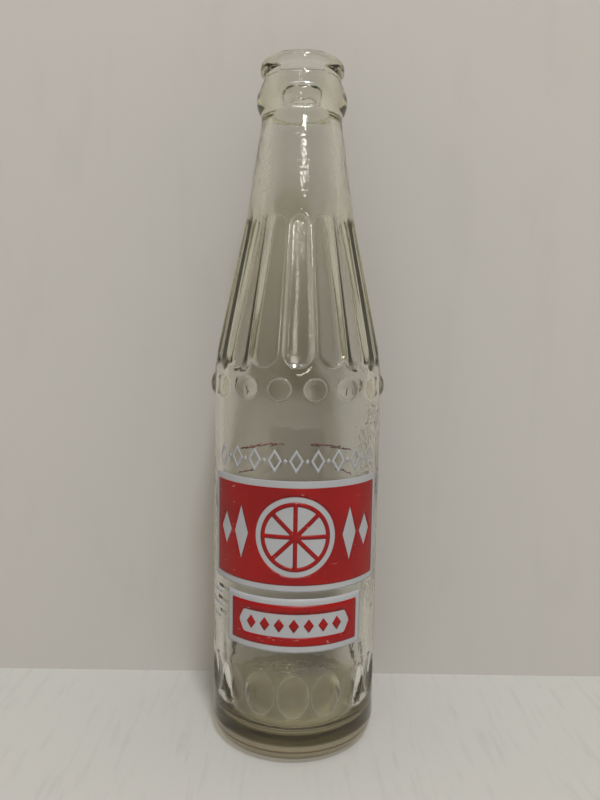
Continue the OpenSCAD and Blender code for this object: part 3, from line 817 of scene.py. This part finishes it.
def make_world():
    """Soft light all round. Glass sees the same pale light behind and over the bottle, and a dimmer room in
    front of it, which draws the dark streaks in its edges."""
    world = bpy.data.worlds.new("studio")
    world.use_nodes = True
    scene.world = world
    tree = world.node_tree
    tree.nodes.clear()
    add, link = tree.nodes.new, tree.links.new

    def sum_of(operation, a, b, clamp=False):
        node = add("ShaderNodeMath")
        node.operation, node.use_clamp = operation, clamp
        for socket, value in zip(node.inputs, (a, b)):
            if isinstance(value, bpy.types.NodeSocket):
                link(value, socket)
            else:
                socket.default_value = value
        return node.outputs[0]

    def background(colour, strength):
        node = add("ShaderNodeBackground")
        node.inputs["Color"].default_value = (*colour, 1)
        node.inputs["Strength"].default_value = strength
        return node.outputs[0]

    def blend(share, a, b):
        node = add("ShaderNodeMixShader")
        link(share, node.inputs[0])
        link(a, node.inputs[1])
        link(b, node.inputs[2])
        return node.outputs[0]

    parts = add("ShaderNodeSeparateXYZ")
    link(add("ShaderNodeTexCoord").outputs["Generated"], parts.inputs[0])
    front = sum_of("MULTIPLY", sum_of("SUBTRACT", ROOM_Y, parts.outputs["Y"]), ROOM_Y_EDGE, True)
    below = sum_of("MULTIPLY", sum_of("SUBTRACT", ROOM_Z, parts.outputs["Z"]), ROOM_Z_EDGE, True)
    room = sum_of("MULTIPLY", front, below)
    paths = add("ShaderNodeLightPath").outputs
    through = sum_of("MAXIMUM", paths["Is Glossy Ray"], paths["Is Transmission Ray"])
    soft = background((1.0, 0.90, 0.75), 0.44)
    pale = background((0.46, 0.44, 0.40), 1.0)
    dim = background((0.06, 0.056, 0.045), 1.0)
    seen = blend(room, pale, dim)
    light = blend(through, soft, seen)
    shown = blend(paths["Is Camera Ray"], light, pale)
    link(shown, add("ShaderNodeOutputWorld").inputs["Surface"])


LAMP_AIM = (0, 0, 0.14)


def area_lamp(name, azimuth, elevation, distance, width, height, watts, colour):
    """A soft box on a circle round the bottle: azimuth 0 is over the camera, and it faces the lamps' aim."""
    a, e = math.radians(azimuth), math.radians(elevation)
    aim = Vector(LAMP_AIM)
    place = aim + distance * Vector((math.sin(a) * math.cos(e), -math.cos(a) * math.cos(e), math.sin(e)))
    lamp = bpy.data.lights.new(name, "AREA")
    lamp.shape = "RECTANGLE"
    lamp.size, lamp.size_y, lamp.energy, lamp.color = width, height, watts, colour
    made = bpy.data.objects.new(name, lamp)
    scene.collection.objects.link(made)
    turn = (aim - place).to_track_quat("-Z", "Y").to_matrix().to_4x4()
    made.matrix_world = Matrix.Translation(place) @ turn


def make_camera():
    """The camera at its place, turned about the upright, dropped from level and rolled, in degrees."""
    camera = bpy.data.cameras.new("camera")
    camera.sensor_width, camera.lens, camera.clip_start = 36, CAMERA_LENS, 0.01
    made = bpy.data.objects.new("camera", camera)
    scene.collection.objects.link(made)
    made.matrix_world = (Matrix.Translation(CAMERA_PLACE) @ Matrix.Rotation(math.radians(CAMERA_TURN), 4, "Z")
                         @ Matrix.Rotation(math.radians(90 - CAMERA_DROP), 4, "X")
                         @ Matrix.Rotation(math.radians(CAMERA_ROLL), 4, "Z"))
    scene.camera = made


make_camera()
scene.view_settings.view_transform = "Standard"
scene.cycles.max_bounces = 24
scene.cycles.transmission_bounces = 20
scene.cycles.glossy_bounces = 8
scene.cycles.diffuse_bounces = 4
scene.cycles.transparent_max_bounces = 24
scene.cycles.caustics_reflective = False
scene.cycles.caustics_refractive = False
scene.cycles.use_denoising = True

# The floor and the wall, in millimetres. The wall stands just behind the bottle, as in the photograph.
WALL_Y, STAGE_W, STAGE_L, WALL_H = 32.0, 3000.0, 3000.0, 1600.0
plane("floor", [(-STAGE_W, -STAGE_L, 0), (STAGE_W, -STAGE_L, 0),
                (STAGE_W, STAGE_L, 0), (-STAGE_W, STAGE_L, 0)], floor_material())
plane("wall", [(-STAGE_W, WALL_Y, 0), (STAGE_W, WALL_Y, 0),
               (STAGE_W, WALL_Y, WALL_H), (-STAGE_W, WALL_Y, WALL_H)], wall_material())
make_world()
area_lamp("high_lamp", 15, 58, 2.2, 0.26, 0.15, 22.0, (1.0, 0.985, 0.955))
area_lamp("room_lamp", 7, 31, 2.2, 0.36, 0.16, 4.0, (1.0, 0.97, 0.92))
area_lamp("cool_window", 1, 58, 2.2, 1.7, 0.17, 6.5, (0.84, 0.92, 1.0))

glass = make_glass()
glass.data.materials.append(glass_material())
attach(glass, "root")
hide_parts("glass_bottle")

ENAMELS = {
    "white_enamel": enamel_material("white_fired_enamel", (0.415, 0.43, 0.46), (0.385, 0.40, 0.43),
                                    (0.34, 0.335, 0.31), 0.5),
    "red_enamel": enamel_material("red_fired_enamel", (0.31, 0.006, 0.006), (0.25, 0.005, 0.006),
                                  (0.50, 0.24, 0.22), 0.85),
}
for piece_name, node_name, slot_name, loops, r_in, r_out, direction in LAYERS:
    layer = print_layer(piece_name, loops, r_in, r_out, direction)
    layer.data.materials.append(ENAMELS[slot_name])
    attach(layer, "root")
    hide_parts(node_name)
